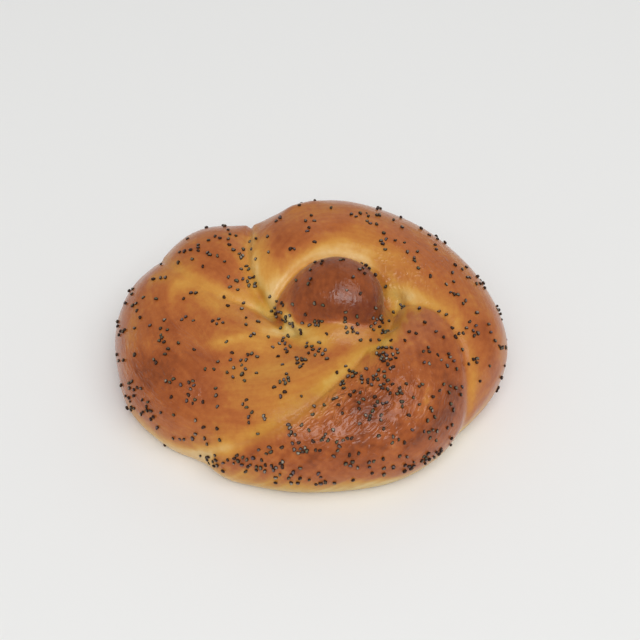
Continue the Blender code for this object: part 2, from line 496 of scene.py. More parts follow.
# paths of x, y and z, how wide and how high: two on the ropes behind, one low on the front rope, and one at
# each end of the knob
SWELLINGS = [
    [(-17, 28, 31, 3.6, 1.1), (-18, 24, 33, 2.6, 0.6)],
    [(-4, 31, 36, 3.4, 1.1), (0, 33, 35, 3.6, 0.8)],
    [(24, -41, 7, 4.0, 0.3), (29, -38, 9, 4.0, 0.3)],
    [(14, -7, 37, 2.6, 0.4), (16.5, -7, 35, 3.0, 0.9)],
    [(0, -5, 37, 2.6, 0.3), (-3, -5, 35, 3.0, 0.8)],
]
print("creases:", len(CREASES), "hollows:", len(HOLLOWS), "swellings:", len(SWELLINGS))

# %% [markdown]
# ## Strokes and folds
# Two kinds of line lie on the skin. A stroke follows a short path of points near the skin, wherever it runs.
# A fold follows the meeting of two ropes by itself, because it depends only on the distances to them.

# %% Lines on the skin
FOLD_REACH = 2.0


def along_segment(places, start, end):
    """How far along a straight line, from 0 to 1, each place lies, and its distance from the line."""
    start, end = np.array(start, float), np.array(end, float)
    part = np.clip(((places - start) @ (end - start)) / ((end - start) @ (end - start)), 0, 1)
    return part, np.linalg.norm(places - start - part[:, None] * (end - start), axis=1)


def stroke(path, raggedness=0.0):
    """A bell across each piece of a path, whose width and amount change evenly; the strongest counts."""
    strongest = np.zeros(len(skin))
    for start, end in zip(path[:-1], path[1:]):
        part, away = along_segment(skin, start[:3], end[:3])
        width = start[3] + part * (end[3] - start[3])
        amount = start[4] + part * (end[4] - start[4])
        value = amount * bell(np.maximum(away + raggedness * width * ragged, 0), width)
        strongest = np.where(np.abs(value) > np.abs(strongest), value, strongest)
    return strongest


def in_fold(over, under, centre, width):
    """A bell of the difference between the distances to two ropes, close to both of them only."""
    above, below = to_ropes[:, column(over)], to_ropes[:, column(under)]
    near_both = bell(np.maximum(np.minimum(above, below), 0), FOLD_REACH)
    return near_both * bell(above - below - centre, width)


print("points in the fold of the knob and the back rope:", int((in_fold("knob", "back", 0, 1) > 0.5).sum()))

# %% Raise and lower the skin
STREAK_DEPTH = 0.06
LUMP_HEIGHT = 0.18
BLISTER_HEIGHT = 0.17
BLISTER_SIZE = 3.0


def outward(points, step=0.05):
    """The direction in which the distance to the dough grows fastest, by differences along each axis."""
    slopes = [dough_distance(points + shift) - dough_distance(points - shift) for shift in np.eye(3) * step]
    slope = np.column_stack(slopes)
    return slope / np.linalg.norm(slope, axis=1, keepdims=True)


out = outward(skin)
front_crown = spot(skin, (15, -33, 28), (20, 11, 13)) * share[:, column("front")]
blisters = front_crown * noise(skin, BLISTER_SIZE, seed=16)
relief = STREAK_DEPTH * streaks + LUMP_HEIGHT * lumps + BLISTER_HEIGHT * blisters
for over, under, centre, width, depth in CREASES:
    relief = relief - depth * in_fold(over, under, centre, width)
for path in HOLLOWS:
    relief = relief - stroke(path)
for path in SWELLINGS:
    relief = relief + stroke(path)
# the relief fades out towards the tray
skin_rough = skin + out * (relief * soft_step(skin[:, 2], 1.0, 6.0))[:, None]
print("relief from", relief.min().round(2), "to", relief.max().round(2), "mm")

# %% [markdown]
# ## Where the egg wrinkles
# Dried egg wrinkles where the dough below it goes on rising: most on the front rope's crown, less on the
# bend of the back rope and on the left rope's cheek, and hardly on the knob.

# %% How wrinkled the skin is
back_bend = spot(skin, (29, 12, 33), (13, 10, 12)) * share[:, column("back")]
left_cheek = spot(skin, (-38, -16, 20), (14, 16, 14)) * share[:, column("left")]
crinkled = np.clip(1.3 * front_crown + 0.5 * back_bend + 0.6 * left_cheek + 0.25 * on_knob, 0, 1)
print("share of the points that are clearly wrinkled:", (crinkled > 0.5).mean().round(3))

# %% [markdown]
# ## Browning
# Egg wash browns where the oven's heat reaches it, so each rope's crown is brown and each fold stays
# golden. In a fold the difference between the distances to its two ropes is zero, and it grows away from
# it on both sides. A bell curve of that difference gives a band of dough that stretched as it rose, after
# the egg had dried. What is left over is painted with strokes: bells across short paths on the skin,
# whose width and amount change from point to point. Some strokes are painted shade and painted light
# rather than browning: shade in the creases beside and under the knob and on the back rope's right side,
# sheen on the knob's top edge, and light bounced up from the card along the front rim.

# %% Crowns and folds
CROWN_BROWN = {"back": 0.52, "rear_left": 0.55, "left": 0.61, "tongue": 0.45, "front": 0.74, "knob": 0.95,
               "apron": 0.38}
# how mottled each rope's brown is
MOTTLED = {"back": 0.5, "rear_left": 0.4, "left": 0.7, "tongue": 0.4, "front": 1.1, "knob": 0.6, "apron": 0.3}

# the rope above, the rope below, where the band lies and how wide it is, and how much paler it is
PALE_FOLDS = [
    ("knob", "back", 1.6, 2.6, 0.42),
    ("knob", "back", 3.5, 5.0, 0.16),
    ("left", "rear_left", 0.6, 1.1, 0.18),
    ("left", "rear_left", -0.5, 4.0, 0.08),
    ("rear_left", "back", 1.0, 1.4, 0.20),
    ("left", "knob", 0.5, 2.5, 0.10),
    ("left", "apron", 0.5, 1.8, 0.15),
]
print("pale folds:", len(PALE_FOLDS))

# %% [markdown]
# ## Strokes in the folds
# In the creases to the left of the knob and behind it the dough stretched last and stayed palest, with a
# thin line of painted shade along the crease. Painted shade also darkens the deep valley to the right of the
# knob and the fold under its cap.

# %% Strokes in the folds
# a name, the ropes that it lies on, and its points: x, y and z, how wide, and how much browner it is,
# or paler where the amount is below zero; no ropes means that it lies across all of them
STROKES = [
    ("tongue tip", "", [(-18, -37, 15, 1.8, -0.16), (-22, -36, 13, 2.6, -0.52), (-27, -34, 8, 2.4, -0.30)]),
    ("left crease pale", "", [
        (-7, -4, 30, 2.0, -0.44), (-5, -8, 29, 2.2, -0.42), (-2, -11, 29, 2.0, -0.32),
        (3, -14, 30, 1.8, -0.26), (5, -16, 30, 1.6, -0.12)
    ]),
    # painted shade: a faint dark band in the crease to the left of the knob
    ("left crease painted shade", "", [(-15, 6, 31, 1.2, 0.06), (-13, 2, 29, 1.8, 0.12), (-11, -2, 28, 1.2, 0.00)]),
    ("valley behind the left crease", "", [
        (-16, 21, 34, 1.8, -0.24), (-16, 13, 34, 2.0, -0.26), (-14, 6, 31, 2.0, -0.30),
        (-12, 5, 29, 2.0, -0.20)
    ]),
    # painted shade deep in the narrow valley to the right of the knob
    ("valley painted shade", "", [
        (17, 11, 34, 1.4, 0.20), (20, 7, 31, 2.0, 0.46), (21, 3, 28, 2.2, 0.50), (21, -1, 29, 1.4, 0.00)
    ]),
    ("band's right end", "", [
        (12, -18, 29, 1.8, -0.12), (16, -16, 29, 2.0, -0.44), (20, -15, 30, 2.0, -0.50)
    ]),
    # painted shade: a thin dark line along the crease to the left of the knob
    ("left crease", "", [
        (-17, 12, 33, 0.7, 0.10), (-15, 6, 32, 0.8, 0.22), (-12, 1, 29, 0.9, 0.30), (-8, -6, 29, 0.8, 0.30),
        (-3, -11, 29, 0.8, 0.14)
    ]),
    # painted shade in the fold under the knob's cap
    ("under cap dark", "", [(13, -10, 33, 0.8, 0.16), (16, -9, 31, 1.1, 0.34), (19, -7, 30, 0.8, 0.24)]),
]
print("strokes so far:", len(STROKES))

# %% [markdown]
# ## Strokes on the left rope and the tongue
# A pale band runs along the front rope's edge, from the knob down to the tongue's tip. Pale streaks fan
# out from the crease, and the left rope's cheek is the darkest part of this side.

# %% Strokes on the left rope and the tongue
STROKES += [
    ("band", "left tongue", [
        (19, -15, 30, 1.6, -0.30), (14, -18, 29, 1.8, -0.36), (9, -22, 28, 2.4, -0.42),
        (5, -27, 27, 2.4, -0.44), (1, -30, 26, 2.0, -0.14), (-7, -34, 23, 1.8, -0.22),
        (-15, -36, 18, 1.8, -0.28), (-21, -36, 13, 2.6, -0.36), (-27, -34, 9, 3.0, -0.46)
    ]),
    ("tongue gold", "left tongue", [
        (-2, -24, 28, 4.5, -0.12), (-10, -22, 27, 4.5, -0.18), (-18, -24, 25, 3.6, -0.08)
    ]),
    ("pale streak left", "left tongue", [
        (-25, -12, 27, 1.5, -0.22), (-19, -11, 28, 1.5, -0.24), (-9, -10, 28, 1.6, -0.24)
    ]),
    ("pale fan under", "left tongue", [
        (-6, -9, 26, 3.0, -0.14), (-14, -13, 28, 3.6, -0.20), (-21, -15, 27, 3.0, -0.14)
    ]),
    ("pale fan left", "left tongue", [
        (-7, -4, 26, 4.0, -0.10), (-15, -7, 29, 4.0, -0.14), (-23, -9, 29, 4.0, -0.12)
    ]),
    ("pale fan top", "left tongue", [
        (-12, -3, 28, 3.0, -0.08), (-18, -2, 29, 3.0, -0.10), (-29, 2, 29, 3.0, -0.10)
    ]),
    ("left edge pale", "left tongue", [
        (-43, 13, 27, 2.0, -0.20), (-31, 7, 30, 1.4, -0.12), (-22, 3, 30, 1.6, -0.20),
        (-14, -1, 28, 1.4, -0.05)
    ]),
    ("left shoulder", "left tongue", [
        (-41, 8, 27, 3.0, -0.12), (-34, 7, 29, 2.4, -0.04), (-24, 1, 30, 2.6, -0.04)
    ]),
    ("left bottom rim", "left", [
        (-42, -24, 11, 2.8, -0.10), (-36, -29, 9, 2.8, -0.06), (-31, -31, 7, 2.8, -0.10)
    ]),
    ("left dark upper", "left", [(-39, -6, 26, 4.0, 0.08), (-35, -5, 27, 4.0, 0.08)]),
    ("left dark lower", "left", [
        (-42, -18, 20, 6.5, 0.36), (-31, -19, 24, 6.0, 0.31), (-27, -25, 23, 5.5, 0.23),
        (-19, -31, 22, 4.0, 0.06)
    ]),
    ("left dark lowest", "left", [(-35, -28, 15, 4.5, 0.12), (-27, -28, 20, 4.5, 0.12)]),
    ("small brown mark", "left tongue", [(-25, -16, 25, 1.8, 0.14), (-21, -16, 26, 1.8, 0.14)]),
    ("tongue brown", "left tongue", [(-3, -14, 28, 1.4, 0.04), (1, -16, 29, 1.4, 0.14)]),
    ("tongue brown lower", "left tongue", [(1, -21, 29, 1.6, 0.10), (9, -16, 30, 1.6, 0.14)]),
    ("pale fan inner", "left tongue", [(-11, -5, 28, 3.0, -0.12), (-10, -14, 28, 4.0, -0.12)]),
    ("left brown low", "left tongue", [(-24, -26, 22, 4.0, 0.10), (-17, -33, 21, 3.6, 0.14)]),
]
print("strokes so far:", len(STROKES))

# %% [markdown]
# ## Strokes on the front rope
# The front rope is the brownest, on its crown most of all. It is golden along its upper edge, where it
# meets the knob, and beside the band, and pale along the lower rim, partly less baked and partly painted
# light bounced up from the card.

# %% Strokes on the front rope
STROKES += [
    ("band on front", "front", [
        (17, -20, 29, 1.6, -0.20), (10, -24, 28, 2.8, -0.30), (4, -31, 26, 3.2, -0.26),
        (-3, -35, 23, 3.0, -0.22), (-12, -37, 18, 2.0, -0.22), (-20, -37, 13, 1.6, -0.24)
    ]),
    ("front tail", "front", [(-11, -40, 15, 3.5, -0.16), (-7, -43, 12, 3.5, -0.16)]),
    ("front light patches", "front", [(28, -33, 23, 1.8, -0.14), (31, -30, 24, 2.2, -0.16)]),
    ("strip on front", "front", [(36, -4, 29, 1.0, -0.12), (37, -7, 28, 1.0, -0.04)]),
    ("front light streak", "front", [(23, -39, 20, 1.6, -0.10), (20, -41, 14, 2.0, -0.16)]),
    ("front top edge", "front", [
        (30, 0, 29, 3.0, -0.30), (25, -2, 30, 4.0, -0.40), (23, -7, 30, 4.0, -0.36),
        (21, -12, 30, 3.0, -0.32), (20, -16, 30, 2.4, -0.24)
    ]),
    ("front shoulder gold", "front", [
        (21, -9, 31, 3.0, -0.16), (24, -16, 31, 4.0, -0.16), (22, -20, 30, 3.0, -0.06)
    ]),
    # paler foot of the front rope: partly less baked, partly painted light bounced up from the card
    ("front bottom rim", "front", [
        (-16, -40, 9, 2.6, -0.20), (-10, -42, 9, 3.0, -0.20), (5, -43, 7, 3.0, -0.26),
        (12, -43, 8, 3.0, -0.40), (20, -40, 6, 3.2, -0.40)
    ]),
    ("front crown behind", "front", [(29, -14, 31, 3.0, 0.06), (31, -20, 29, 4.0, 0.10)]),
    ("front dark left", "front", [(13, -33, 27, 3.0, 0.12), (21, -36, 23, 3.0, 0.08)]),
    ("front darkest", "front", [
        (13, -38, 23, 3.8, 0.18), (15, -35, 25, 3.8, 0.20), (18, -33, 27, 3.2, 0.14)
    ]),
    ("front dark right", "front", [
        (25, -38, 18, 3.0, 0.18), (33, -32, 19, 4.0, 0.28), (37, -25, 21, 4.0, 0.26),
        (37, -19, 26, 3.0, 0.10)
    ]),
    ("front dark low", "front", [
        (-1, -41, 18, 4.0, 0.06), (8, -43, 16, 4.5, 0.08), (15, -42, 17, 4.5, 0.08)
    ]),
]
print("strokes so far:", len(STROKES))

# %% [markdown]
# ## Strokes on the two ropes behind
# A golden ring lies round the knob, and a pale strip runs from it down to the right, between the back
# rope and the front one. The shoulders are brown, and the back rope's right side is darker still with
# painted shade.

# %% Strokes on the two ropes behind
STROKES += [
    ("rear edge pale", "rear_left", [
        (-43, 16, 26, 1.8, -0.16), (-31, 9, 30, 1.6, -0.12), (-22, 4, 30, 1.6, -0.22),
        (-14, 0, 28, 1.8, -0.10)
    ]),
    ("back beside the knob", "back", [
        (19, 15, 35, 3.5, -0.10), (22, 13, 35, 4.0, -0.14), (26, 10, 35, 3.0, -0.06)
    ]),
    ("valley back broad", "back", [
        (-13, 17, 36, 3.0, -0.20), (-13, 10, 35, 3.0, -0.22), (-11, 5, 33, 2.4, -0.08)
    ]),
    ("rear right gold", "rear_left", [
        (-18, 21, 33, 3.0, -0.20), (-17, 13, 33, 3.0, -0.18), (-15, 6, 30, 3.0, -0.16)
    ]),
    ("ring behind the knob, left", "back", [
        (-6, 7, 35, 1.8, 0.06), (-1, 10, 36, 2.0, -0.06), (3, 13, 36, 2.0, -0.10)
    ]),
    ("ring behind the knob, right", "back", [
        (4, 14, 36, 2.8, -0.18), (10, 16, 36, 3.2, -0.20), (15, 14, 35, 2.6, -0.16)
    ]),
    ("strip beside the knob", "back", [
        (22, 4, 29, 2.4, -0.40), (26, 3, 29, 3.2, -0.55), (30, 0, 30, 3.2, -0.48), (35, -3, 29, 2.6, -0.38),
        (38, -7, 28, 1.4, -0.14), (41, -12, 24, 1.4, -0.14), (42, -17, 21, 1.8, -0.28),
        (42, -21, 18, 2.2, -0.30), (40, -25, 11, 2.2, -0.28)
    ]),
    ("back patch", "back", [
        (-8, 12, 37, 3.2, 0.14), (-6, 16, 38, 4.2, 0.26), (0, 20, 38, 4.2, 0.22), (8, 23, 38, 3.6, 0.12)
    ]),
    ("back shoulder", "back", [(-9, 24, 37, 3.0, 0.10), (-9, 16, 37, 2.4, 0.10), (-8, 10, 36, 2.0, 0.04)]),
    ("back inner left", "back", [(-6, 8, 35, 1.8, 0.14), (-2, 12, 37, 2.4, 0.20), (2, 16, 37, 2.0, 0.12)]),
    # the back rope's right shoulder: brown, and darkened further by painted shade on that side
    ("back right, brown and painted shade", "back", [(24, 20, 36, 5.0, 0.12), (32, 14, 33, 5.0, 0.14), (39, 7, 31, 5.0, 0.12)]),
    ("back beside the strip", "back", [
        (24, 7, 32, 1.6, 0.10), (30, 4, 31, 1.6, 0.14), (35, 0, 31, 1.4, 0.06)
    ]),
    ("back bottom right", "back", [
        (46, -6, 25, 3.0, 0.18), (48, -11, 21, 3.0, 0.24), (49, -14, 16, 3.0, 0.20)
    ]),
    ("rear dark", "rear_left", [
        (-37, 18, 30, 3.0, 0.10), (-28, 15, 33, 4.0, 0.16), (-23, 12, 33, 4.0, 0.18),
        (-20, 8, 32, 3.0, 0.14)
    ]),
    ("back low right", "back", [(44, 0, 28, 3.5, 0.08), (44, -6, 26, 3.5, 0.14)]),
    ("ring's brown side", "back", [(19, 10, 33, 1.8, 0.10), (20, 7, 32, 1.6, 0.10)]),
]
print("strokes so far:", len(STROKES))

# %% [markdown]
# ## Strokes on the knob
# The knob is the darkest part of all, with a little less brown on its left end, and a lighter top edge that
# is partly less brown and partly painted sheen.

# %% Strokes on the knob
STROKES += [
    ("knob's left end", "knob", [(-8, -4, 29, 1.6, -0.36), (-4, -9, 29, 1.8, -0.20)]),
    ("knob dark", "knob", [(5, -8, 36, 1.6, 0.06), (12, -8, 36, 2.6, 0.12), (17, -4, 35, 2.6, 0.10)]),
    # lighter along the knob's top edge: partly less brown, partly painted sheen
    ("knob top, less brown and painted sheen", "knob", [(-2, 3, 37, 2.2, -0.10), (2, 3, 40, 2.4, -0.10), (9, 4, 41, 2.4, -0.08)]),
    ("knob left light", "knob", [(-7, -1, 32, 3.0, -0.26), (-4, -6, 31, 3.0, -0.34)]),
]
print("strokes in all:", len(STROKES))

# %% [markdown]
# ## One map of how brown the crust is, with painted shade and light
# Crowns, folds and strokes add up to one number at each point, 0 for golden and 1 for deep brown, which also
# holds the painted shade and painted light of some strokes. The knob is dark above an uneven edge only, and
# the rim at the front, next to the tray, is pale, partly less baked and partly painted light bounced up from
# the card. Freckles and streaks come last.

# %% Add up the browning
FOLD_RAGGEDNESS = 0.35
STROKE_RAGGEDNESS = 0.45
KNOB_PALER = 0.62
RIM_PALER_AND_BOUNCE_LIGHT = 0.82
RIM_HEIGHTS = (2.0, 11.5)
PALEST_BAKE = -0.15
# x and height of the line above which the knob is dark, from its left end to its right end
KNOB_EDGE = [(-9, 28.4), (-5.5, 30.2), (-1, 31.2), (2, 31.6), (6, 32.8),
             (8.5, 33.4), (11, 32.0), (14, 29.6), (16.5, 28.6), (19, 27.6)]

at_front = soft_step(-skin[:, 1], 5, 25)


def by_rope(amounts):
    """One amount for each rope, mixed by the shares of the ropes."""
    return share @ np.array([amounts[name] for name in rope_names])


def browning_and_painted_light():
    """Crowns less pale folds, plus strokes with their painted shade and light, less what is below the knob's
    edge and the rim.
    """
    brown = by_rope(CROWN_BROWN)
    for over, under, centre, width, amount in PALE_FOLDS:
        brown = brown - amount * in_fold(over, under, centre + FOLD_RAGGEDNESS * width * ragged, width)
    for _, ropes, path in STROKES:
        where = share[:, [column(name) for name in ropes.split()]].sum(1) if ropes else 1.0
        brown = brown + where * stroke(path, STROKE_RAGGEDNESS)
    edge = np.interp(skin[:, 0], *np.array(KNOB_EDGE).T)
    brown = brown - KNOB_PALER * on_knob * (1 - soft_step(skin[:, 2] - edge + streaks, -0.9, 0.9))
    # pale strokes that lie on each other don't go far below golden
    brown = np.maximum(brown, 0.3 * brown - 0.02)
    # the front rim by the tray is paler: partly less baked, partly painted light bounced up from the card
    brown = brown - RIM_PALER_AND_BOUNCE_LIGHT * at_front * (1 - soft_step(skin[:, 2] + 1.2 * ragged, *RIM_HEIGHTS))
    brown = np.maximum(brown, PALEST_BAKE)
    freckles = 0.05 * (noise(skin, 2.6, seed=8) + noise(skin, 1.3, seed=13) + noise(skin, 0.7, seed=15))
    brown = brown + by_rope(MOTTLED) * soft_step(brown, 0.3, 0.65) * freckles
    return brown + 0.10 * streaks * (0.6 + noise(skin, 6.0, seed=12)) + 0.04 * noise(skin, 4.5, seed=9)


# the bake number holds the browning, and also painted shade in the creases beside and under the knob and on
# the back rope's right side, painted sheen on the knob's top edge, and painted light along the front rim
bake_and_painted_light = browning_and_painted_light()
print("bake from", bake_and_painted_light.min().round(2), "to", bake_and_painted_light.max().round(2))

# %% [markdown]
# ## Raw dough, painted crease shade and dried egg
# Little heat reaches the creases and the pale dough beside them, so they keep the faint olive of raw
# wheat. The same olive tint also paints the grey-green shade in the creases and along the foot at the front.
# Where the dough stretched after the egg had dried, the egg on it is thin, so pale dough also shines less
# than brown.

# %% How raw the dough is, and how much egg lies on it
# paths of x, y and z, how wide, and how raw the dough is, with the painted shade that the same tint gives:
# in the crease to the right of the knob, in the one to its left, below the knob, on the front rope's upper
# edge and along the band
RAW_AND_SHADE_PATHS = [
    [(19, 12, 33, 1.6, 0.2), (22, 6, 30, 2.2, 0.6), (22, -1, 29, 3.8, 1.0), (21, -9, 30, 3.8, 1.0),
     (18, -16, 29, 3.0, 0.9)],
    [(-16, 9, 33, 1.6, 0.2), (-14, 5, 31, 2.0, 0.6), (-12, 0, 29, 2.2, 0.9), (-8, -6, 29, 1.8, 0.8),
     (-3, -11, 29, 1.8, 0.4)],
    [(8, -16, 29, 3.0, 0.1), (14, -17, 29, 3.0, 0.5)],
    [(24, -7, 30, 3.5, 0.5), (30, -3, 30, 3.0, 0.4)],
    [(13, -19, 29, 3.0, 0.3), (4, -28, 26, 3.4, 0.9), (-5, -33, 23, 3.4, 0.9), (-14, -37, 18, 2.4, 0.4)],
]
RAW_RAGGEDNESS = 0.3
RAW_APRON = 0.4
RAW_RIM = 0.8
THIN_EGG = 0.40
MORE_EGG_ON_BROWN = 0.37
# paths of x, y and z, how wide, and how much egg is missing: along the band and in the left crease
DRY_BAND = [(9, -22, 28, 3.0, 0.3), (2, -28, 26, 5.0, 0.4), (-6, -31, 24, 5.0, 0.4), (-14, -34, 20, 3.0, 0.3)]
DRY_CREASE = [(-16, 9, 33, 2.0, 0.3), (-12, 0, 29, 2.4, 0.4), (-8, -6, 29, 2.0, 0.3)]

raw_and_painted_shade = sum(stroke(path, RAW_RAGGEDNESS) for path in RAW_AND_SHADE_PATHS) + RAW_APRON * share[:, column("apron")]
low_front = at_front * soft_step(skin[:, 0], -25, -5) * (1 - soft_step(skin[:, 2], 3, 13))
raw_and_painted_shade = np.clip(raw_and_painted_shade + RAW_RIM * low_front, 0, 1)
glaze = THIN_EGG + MORE_EGG_ON_BROWN * soft_step(bake_and_painted_light, 0.15, 0.65)
glaze = glaze - stroke(DRY_BAND) * (share[:, column("tongue")] + share[:, column("left")])
glaze = np.clip(glaze - stroke(DRY_CREASE), 0, 1)
print("egg from", glaze.min().round(2), "to", glaze.max().round(2))

# %% [markdown]
# ## The crust as a mesh
# Rings and bearings make quads, and one point at each pole closes the skin. The browning with its painted
# shade and light, the wrinkled parts, the rawness with its painted shade, the egg and the place on the rope
# are stored on the points, where the material can read them.

# %% Faces between the rings
def ring_faces(rings, per_ring):
    """Quads between neighbouring rings, as point numbers, turned so that they face outwards."""
    ring, step = np.meshgrid(np.arange(rings - 1), np.arange(per_ring), indexing="ij")
    here = ring * per_ring + step
    beside = ring * per_ring + (step + 1) % per_ring
    return np.stack([here, here + per_ring, beside + per_ring, beside], -1).reshape(-1, 4)


def pole_faces(rings, per_ring):
    """Triangles from the first ring to one added point, and from the last ring to a second one."""
    size = rings * per_ring
    step = np.arange(per_ring)
    beside = (step + 1) % per_ring
    last = size - per_ring
    first_end = np.stack([beside, np.full(per_ring, size), step], -1)
    last_end = np.stack([last + step, np.full(per_ring, size + 1), last + beside], -1)
    return np.vstack([first_end, last_end])


print("faces of a band of two rings of eight:", len(ring_faces(2, 8)), "and its ends:", len(pole_faces(2, 8)))

# %% From arrays to a mesh
def mesh_object(name, points, quads, triangles):
    """A mesh object in metres from points in mm and faces as whole arrays."""
    corners = np.concatenate([quads.ravel(), triangles.ravel()])
    sizes = np.concatenate([np.full(len(quads), 4), np.full(len(triangles), 3)])
    starts = np.concatenate([[0], np.cumsum(sizes)[:-1]])
    mesh = bpy.data.meshes.new(name)
    mesh.vertices.add(len(points))
    mesh.vertices.foreach_set("co", (points * MM).astype(np.float32).ravel())
    mesh.loops.add(len(corners))
    mesh.loops.foreach_set("vertex_index", corners.astype(np.int32))
    mesh.polygons.add(len(sizes))
    mesh.polygons.foreach_set("loop_start", starts.astype(np.int32))
    mesh.update(calc_edges=True)
    mesh.validate()
    mesh.shade_smooth()
    thing = bpy.data.objects.new(name, mesh)
    bpy.context.scene.collection.objects.link(thing)
    return thing


def store(thing, name, values):
    """Keeps one value or one arrow for each point of the mesh."""
    kind = "FLOAT" if values.ndim == 1 else "FLOAT_VECTOR"
    attribute = thing.data.attributes.new(name, kind, "POINT")
    attribute.data.foreach_set("value" if values.ndim == 1 else "vector", values.astype(np.float32).ravel())


# %% Put the crust into Blender
crust_points = skin_rough.copy()
crust_points[:, 2] = pressed(crust_points[:, 2])
crust_points += to_frame
crust_quads = ring_faces(RINGS, BEARINGS)
crust_ends = pole_faces(RINGS, BEARINGS)
crust = mesh_object("bun_crust", crust_points, crust_quads, crust_ends)
store(crust, "bake_and_painted_light", bake_and_painted_light)
store(crust, "crinkled", crinkled)
store(crust, "grain", grain)
# the streaks are half as strong on the knob
store(crust, "apart", apart * (1 - 0.5 * on_knob))
store(crust, "raw_and_painted_shade", raw_and_painted_shade)
store(crust, "glaze", glaze)
print("crust triangles:", 2 * len(crust_quads) + len(crust_ends))

# %% [markdown]
# ## The colours of the crust
# The number for the browning, with its painted shade and light, is looked up in a ramp of colours, from the
# cream of stretched dough to the dark brown of the knob. Before that, streaks along the rope's grain and a
# fine mottling are added to it, so that they change the crust as the heat does, and not as paint would. Raw
# dough is tinted a little towards olive, and the same tint paints shade in the creases and along the foot.

# %% Crust colours
BROWNING_COLOURS = [
    (PALEST_BAKE, "#deb97c"), (0.0, "#d6a65c"), (0.2, "#cb9040"), (0.4, "#bd7934"),
    (0.6, "#ad602a"), (0.8, "#994d1e"), (1.0, "#7c3a12"), (1.15, "#6a2b0e"),
]
DARKEST_BAKE = BROWNING_COLOURS[-1][0]
# olive of raw dough, which also paints the grey-green shade in the creases and along the foot
RAW_AND_SHADE_TINT = "#eef6d4"
STREAK_CONTRAST = 0.22
MOTTLE_CONTRAST = 0.24


def calculated(tree, operation, first, second, third=0.0):
    """The result of a Math node: for MULTIPLY_ADD, the first times the second, plus the third."""
    node = add_node(tree, "ShaderNodeMath", {"operation": operation}, _0=first, _1=second, _2=third)
    return node.outputs[0]


def crust_colour(tree, place):
    """The ramp's colour at the bake number plus streaks plus mottling, times the olive tint of raw dough and
    painted shade.
    """
    along_grain = stored(tree, "grain")["Vector"]
    streak = add_node(tree, "ShaderNodeTexNoise", Vector=along_grain, Scale=0.9, Detail=4.0)
    mottle = add_node(tree, "ShaderNodeTexNoise", Vector=place, Scale=700.0, Detail=4.0)
    centred = calculated(tree, "SUBTRACT", streak.outputs["Fac"], 0.5)
    contrast = calculated(tree, "MULTIPLY", stored(tree, "apart")["Fac"], STREAK_CONTRAST)
    streaked = calculated(tree, "MULTIPLY_ADD", centred, contrast, stored(tree, "bake_and_painted_light")["Fac"])
    mottled = calculated(tree, "MULTIPLY_ADD", mottle.outputs["Fac"], MOTTLE_CONTRAST, streaked)
    # the mottling is half its contrast on average, so both ends move up by that much
    level = add_node(tree, "ShaderNodeMapRange", Value=mottled, From_Min=PALEST_BAKE + MOTTLE_CONTRAST / 2,
                     From_Max=DARKEST_BAKE + MOTTLE_CONTRAST / 2)
    ramp = add_node(tree, "ShaderNodeValToRGB", Fac=level.outputs["Result"])
    span = DARKEST_BAKE - PALEST_BAKE
    fill_ramp(ramp, [((brown - PALEST_BAKE) / span, colour) for brown, colour in BROWNING_COLOURS])
    tinted = add_node(tree, "ShaderNodeMix", {"data_type": "RGBA", "blend_type": "MULTIPLY"},
                      _0=stored(tree, "raw_and_painted_shade")["Fac"], _6=ramp.outputs["Color"], _7=linear(RAW_AND_SHADE_TINT))
    return tinted.outputs[2]


print("colours from", BROWNING_COLOURS[0][1], "to", BROWNING_COLOURS[-1][1])

# %% [markdown]
# ## Egg-washed crust
# The crust is dried, browned starch and egg. Under the thin dried egg it scatters light softly, and the
# egg itself is a clear gloss, so the material is a matt brown base below a coat. Small pits break the
# shine everywhere, and wrinkles in the egg break it where the skin is crinkled. They are shorter than the
# streaks and bend a little.

# %% Pits and wrinkles
PIT_DEPTH = 0.25 * MM
WRINKLE_HEIGHT = 0.8 * MM
WRINKLE_SWAY = (0.5, 0.8, 0.8)
WRINKLE_SHORTENING = (4.5, 1.0, 1.0)


def crust_normal(tree, place):
    """Pits all over, and on them ridges along the grain, as high as the skin is crinkled."""
    pitted = add_node(tree, "ShaderNodeTexNoise", Vector=place, Scale=1100.0, Detail=3.0)
    pits = add_node(tree, "ShaderNodeBump", Height=pitted.outputs["Fac"], Strength=0.35, Distance=PIT_DEPTH)
    sway = add_node(tree, "ShaderNodeTexNoise", Vector=place, Scale=300.0, Detail=1.0)
    bent = add_node(tree, "ShaderNodeVectorMath", {"operation": "MULTIPLY_ADD"},
                    _0=sway.outputs["Color"], _1=WRINKLE_SWAY, _2=stored(tree, "grain")["Vector"])
    shorter = add_node(tree, "ShaderNodeVectorMath", {"operation": "MULTIPLY"},
                       _0=bent.outputs[0], _1=WRINKLE_SHORTENING)
    ridges = add_node(tree, "ShaderNodeTexNoise", {"noise_type": "RIDGED_MULTIFRACTAL"},
                      Vector=shorter.outputs[0], Scale=1.1, Detail=4.0, Roughness=0.7)
    wrinkles = add_node(tree, "ShaderNodeBump", Height=ridges.outputs["Fac"], Distance=WRINKLE_HEIGHT,
                        Strength=stored(tree, "crinkled")["Fac"], Normal=pits.outputs["Normal"])
    return wrinkles.outputs["Normal"]


print("pits of", round(PIT_DEPTH / MM, 2), "mm and wrinkles of", round(WRINKLE_HEIGHT / MM, 2), "mm at most")

